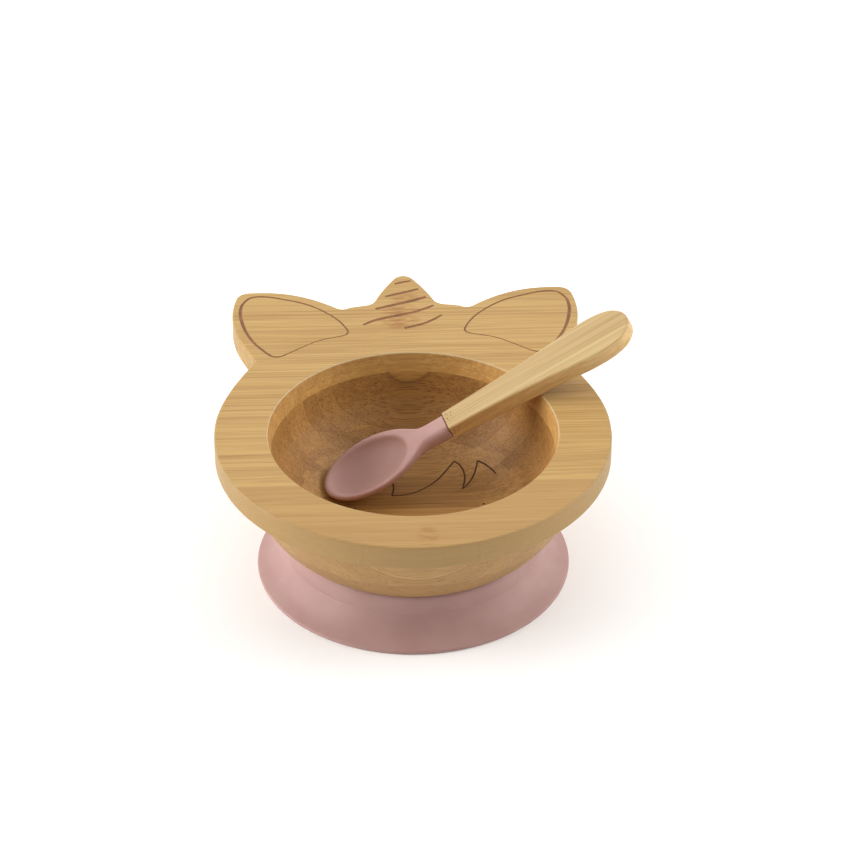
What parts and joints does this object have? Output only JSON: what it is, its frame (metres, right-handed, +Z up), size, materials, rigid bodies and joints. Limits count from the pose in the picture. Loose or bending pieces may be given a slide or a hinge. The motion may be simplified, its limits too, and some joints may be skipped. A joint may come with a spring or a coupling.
{
  "type": "suction bowl",
  "caption": "Child's bamboo bowl with an animal-shaped rim, a pull-off silicone suction ring under its foot and a silicone-tipped bamboo spoon lying in it.",
  "frame": {"origin": "middle of the object's bounding box, on the table plane; the bowl's own axis is at x = -5.09 mm, y = -17.60 mm, because the ears, the horn and the spoon's handle reach further on one side", "axes": "+Z up out of the bowl, +Y from the round front of the rim to the horn, +X to the side that the spoon's handle points to"},
  "size_m": [0.1502, 0.1752, 0.0824],
  "materials": {
    "bamboo_rim_rear": "oiled satin",
    "bamboo_rim_front": "oiled satin",
    "bamboo_wall": "oiled satin",
    "bamboo_floor": "oiled satin",
    "bamboo_foot": "oiled satin",
    "silicone_ring": "matte silicone",
    "bamboo_handle": "oiled satin",
    "silicone_head": "matte silicone"
  },
  "bodies": {
    "ring": {"suction_ring": "silicone_ring"},
    "bowl": {"rim_board_rear": "bamboo_rim_rear", "rim_board_front": "bamboo_rim_front", "wall_board": "bamboo_wall", "floor_board": "bamboo_floor", "foot_board": "bamboo_foot"},
    "spoon": {"spoon_handle": "bamboo_handle", "spoon_head": "silicone_head"}
  },
  "joints": [
    {"name": "bowl_lift", "type": "slide", "parent": "ring", "child": "bowl", "axis": [0, 0, 1], "range_m": [0, 0.04]},
    {"name": "spoon_lift", "type": "slide", "parent": "bowl", "child": "spoon", "axis": [0, 0, 1], "range_m": [0, 0.06]}
  ]
}
